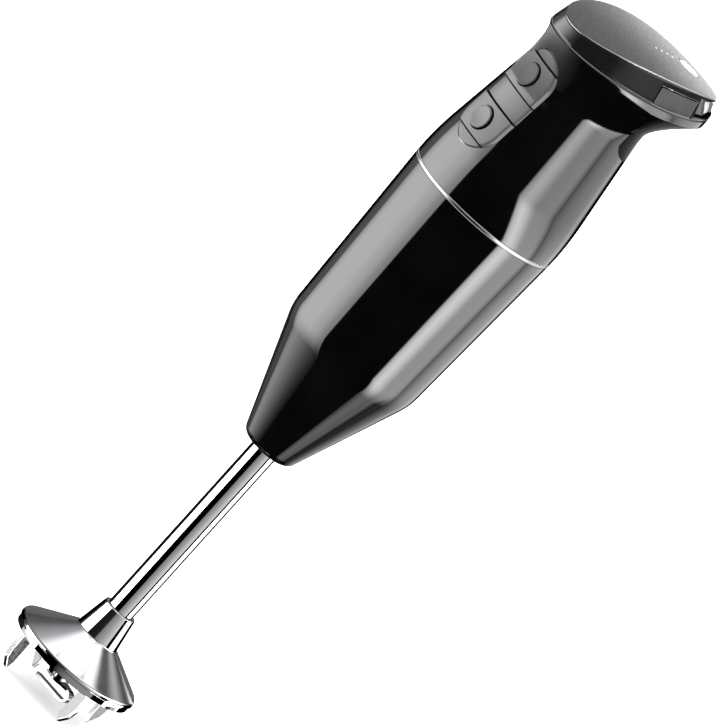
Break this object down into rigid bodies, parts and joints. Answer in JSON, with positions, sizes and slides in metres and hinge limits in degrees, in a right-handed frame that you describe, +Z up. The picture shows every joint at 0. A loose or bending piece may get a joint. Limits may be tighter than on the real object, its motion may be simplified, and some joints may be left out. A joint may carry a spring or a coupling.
{
  "type": "immersion blender",
  "caption": "Cordless immersion blender: tapered body with oval overhanging head, button pad, bright shaft tube and bell guard with prongs round a spinning blade.",
  "frame": {"origin": "on the drive axis, in the plane of the four prong tips that the blender stands on", "axes": "+Z up along the drive axis, -Y towards the side with the speed buttons, +Y towards the overhanging rear of the head, +X to the right"},
  "size_m": [0.0768, 0.0948, 0.3959],
  "materials": {
    "gloss_black": "high gloss moulded black",
    "cap_black": "semi-gloss dark grey",
    "lid_grey": "fine-textured satin dark grey",
    "pad_grey": "soft-touch light grey",
    "trim_silver": "satin",
    "chrome_tube": "polished",
    "guard_steel": "polished cast",
    "blade_steel": "pressed stainless steel",
    "shaft_steel": "ground",
    "bronze": "sintered bronze",
    "seal_rubber": "matte",
    "spider_rubber": "moulded elastomer",
    "motor_steel": "zinc plated",
    "lamination": "stacked laminations",
    "magnet": "sintered",
    "copper": "enamelled copper wire",
    "gold_contact": "plated",
    "carbon": "pressed carbon",
    "inner_plastic": "moulded",
    "board_green": "solder mask",
    "cell_wrap": "shrink-wrapped cell",
    "wire": "insulated wire",
    "nickel": "nickel",
    "lens_white": "translucent white"
  },
  "bodies": {
    "body": {"guard": "guard_steel", "lower_bush": "bronze", "shaft_seal": "seal_rubber", "shaft_tube": "chrome_tube", "upper_bush": "bronze", "tube_nut": "motor_steel", "motor_housing": "gloss_black", "motor_bracket": "inner_plastic", "rubber_mount": "seal_rubber", "motor_screws": "motor_steel", "motor_can": "motor_steel", "motor_magnets": "magnet", "front_bearing": "shaft_steel", "rear_bearing": "shaft_steel", "motor_end_cap": "inner_plastic", "brush_holders": "gold_contact", "carbon_brushes": "carbon", "brush_springs": "motor_steel", "bulkhead": "inner_plastic", "housing_screws": "motor_steel", "motor_leads": "wire", "trim_ring": "trim_silver", "handle_shell": "gloss_black", "bay_floor": "inner_plastic", "bay_contacts": "gold_contact", "control_board": "board_green", "button_switches": "inner_plastic", "button_springs": "motor_steel", "button_pad": "pad_grey"},
    "rotor": {"drive_shaft": "shaft_steel", "drive_pin": "shaft_steel", "shaft_clip": "motor_steel", "shaft_coupling": "motor_steel", "coupling_spider": "spider_rubber", "motor_coupling": "motor_steel", "cooling_fan": "inner_plastic", "motor_shaft": "shaft_steel", "armature_core": "lamination", "armature_windings": "copper", "commutator": "copper"},
    "blade": {"blade_hub": "blade_steel", "blade": "blade_steel"},
    "upper_button": {"upper_button": "pad_grey"},
    "lower_button": {"lower_button": "pad_grey"},
    "battery_pack": {"cell_carrier": "inner_plastic", "battery_cells": "cell_wrap", "cell_straps": "nickel", "pack_contacts": "gold_contact", "cap_base": "inner_plastic", "pack_screws": "motor_steel", "cap_ring": "cap_black", "latch_springs": "motor_steel", "charge_board": "board_green", "charge_port": "inner_plastic", "charge_contacts": "lens_white", "charge_leds": "lens_white", "status_lens": "lens_white", "lid_plate": "lid_grey"},
    "right_latch": {"right_latch": "cap_black"},
    "left_latch": {"left_latch": "cap_black"}
  },
  "joints": [
    {"name": "drive_spin", "type": "hinge", "parent": "body", "child": "rotor", "pos_m": [0, 0, 0.1], "axis": [0, 0, 1], "continuous": true},
    {"name": "blade_pull_off", "type": "slide", "parent": "rotor", "child": "blade", "axis": [0, 0, -1], "range_m": [0, 0.03]},
    {"name": "upper_button_press", "type": "slide", "parent": "body", "child": "upper_button", "axis": [0, 0.9907, -0.1357], "range_m": [0, 0.001], "stiffness_N_per_m": 2000},
    {"name": "lower_button_press", "type": "slide", "parent": "body", "child": "lower_button", "axis": [0, 0.9907, -0.1357], "range_m": [0, 0.001], "stiffness_N_per_m": 2000},
    {"name": "battery_pack_lift", "type": "slide", "parent": "body", "child": "battery_pack", "axis": [0, 0, 1], "range_m": [0, 0.09]},
    {"name": "right_latch_press", "type": "slide", "parent": "battery_pack", "child": "right_latch", "axis": [-1, 0, 0], "range_m": [0, 0.0012], "stiffness_N_per_m": 2000},
    {"name": "left_latch_press", "type": "slide", "parent": "battery_pack", "child": "left_latch", "axis": [1, 0, 0], "range_m": [0, 0.0012], "stiffness_N_per_m": 2000}
  ]
}
